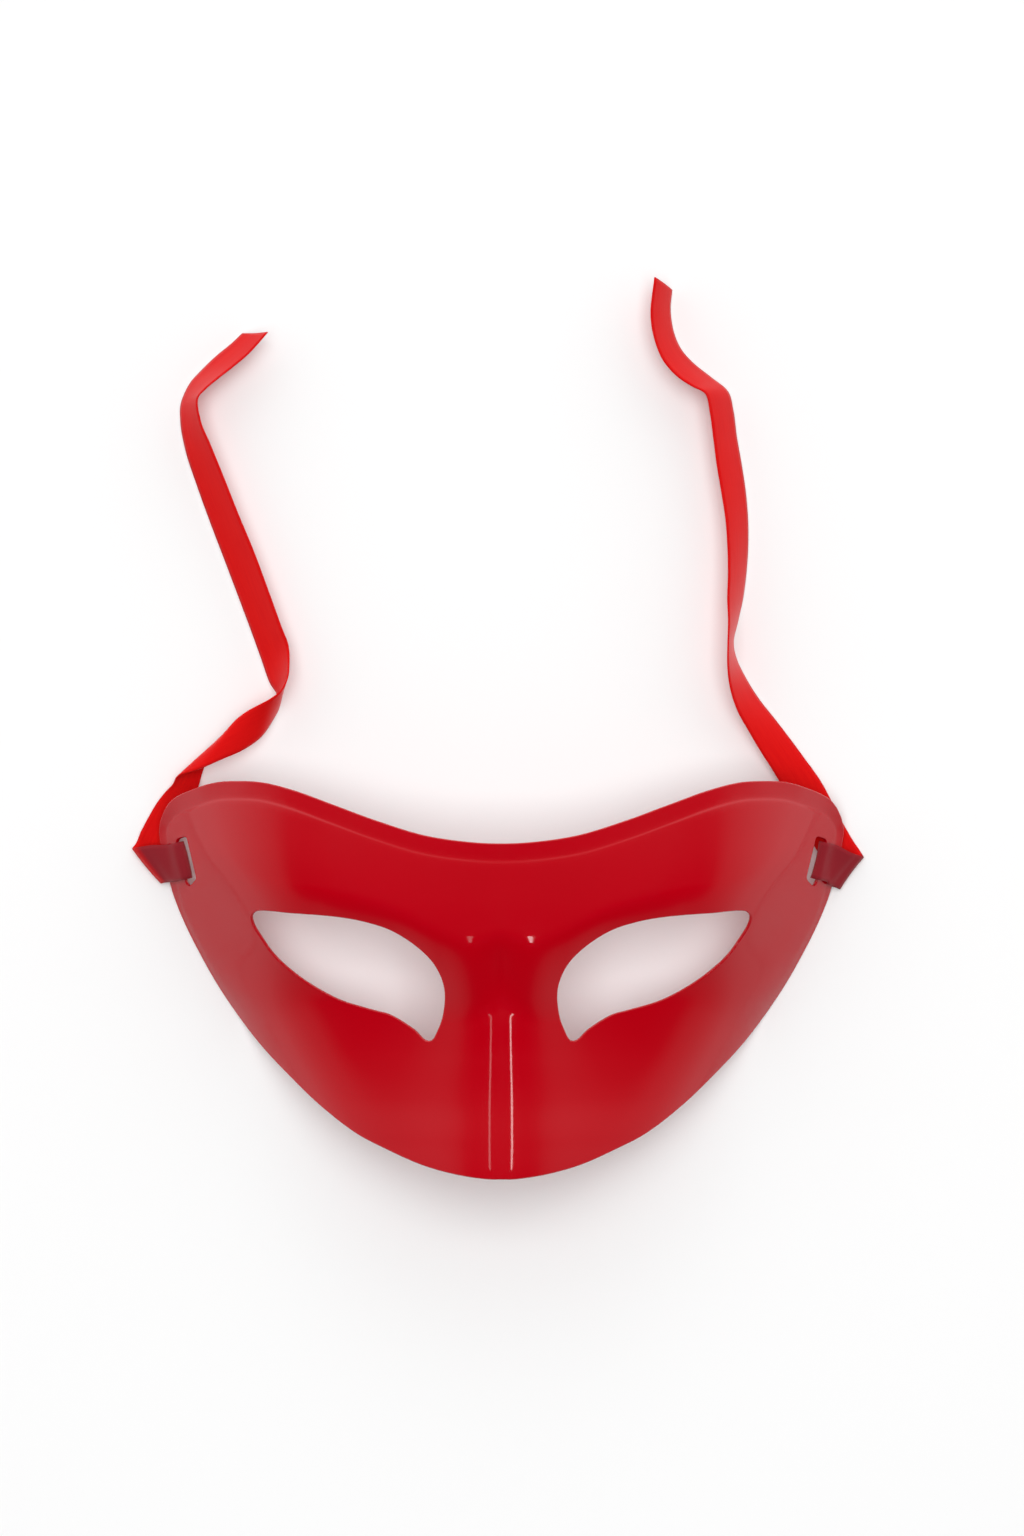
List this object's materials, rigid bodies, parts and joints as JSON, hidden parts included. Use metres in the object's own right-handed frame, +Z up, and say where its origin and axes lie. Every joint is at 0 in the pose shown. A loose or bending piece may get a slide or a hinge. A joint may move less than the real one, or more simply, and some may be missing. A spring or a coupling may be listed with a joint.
{
  "type": "party half mask with ribbon ties",
  "caption": "Glossy red moulded half mask for a costume, with slanted eye holes, a raised nose and a satin ribbon tied through a slot at each temple.",
  "frame": {"origin": "on the table, under the middle of the mask shell's box, with the ribbons left out", "axes": "+X to the right of the picture, across the mask; +Y up the picture, from the nose to the forehead; +Z up from the table, out of the mask's front"},
  "size_m": [0.1934, 0.233, 0.0385],
  "materials": {
    "red_plastic": "glossy moulded sheet",
    "red_satin": "shiny satin ribbon"
  },
  "bodies": {
    "root": {"mask_shell": "red_plastic", "ribbon_left": "red_satin", "ribbon_right": "red_satin"}
  },
  "joints": []
}
